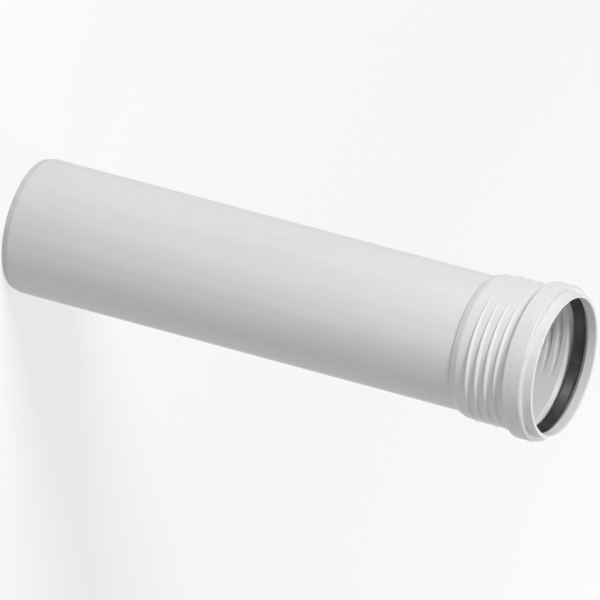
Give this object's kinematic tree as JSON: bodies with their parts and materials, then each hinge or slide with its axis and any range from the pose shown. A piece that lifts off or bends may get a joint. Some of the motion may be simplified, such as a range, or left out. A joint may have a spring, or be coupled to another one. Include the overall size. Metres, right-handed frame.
{
  "type": "soil pipe",
  "caption": "Round soil pipe with a chamfered spigot at its foot and a ribbed push-fit socket at its top, whose bead holds a rubber lip seal for the next pipe.",
  "frame": {"origin": "centre of the spigot end, on the surface that the pipe stands on", "axes": "+Z along the pipe's axis from the spigot end to the socket's mouth, +X to the middle of a smooth side of the socket, +Y to the middle of a ribbed side"},
  "size_m": [0.1274, 0.1274, 0.474],
  "materials": {
    "pipe_plastic": "satin off-white plastic with faint drawing marks along the pipe",
    "seal_rubber": "matt black moulded rubber"
  },
  "bodies": {
    "root": {"pipe": "pipe_plastic", "lip_seal": "seal_rubber"}
  },
  "joints": []
}
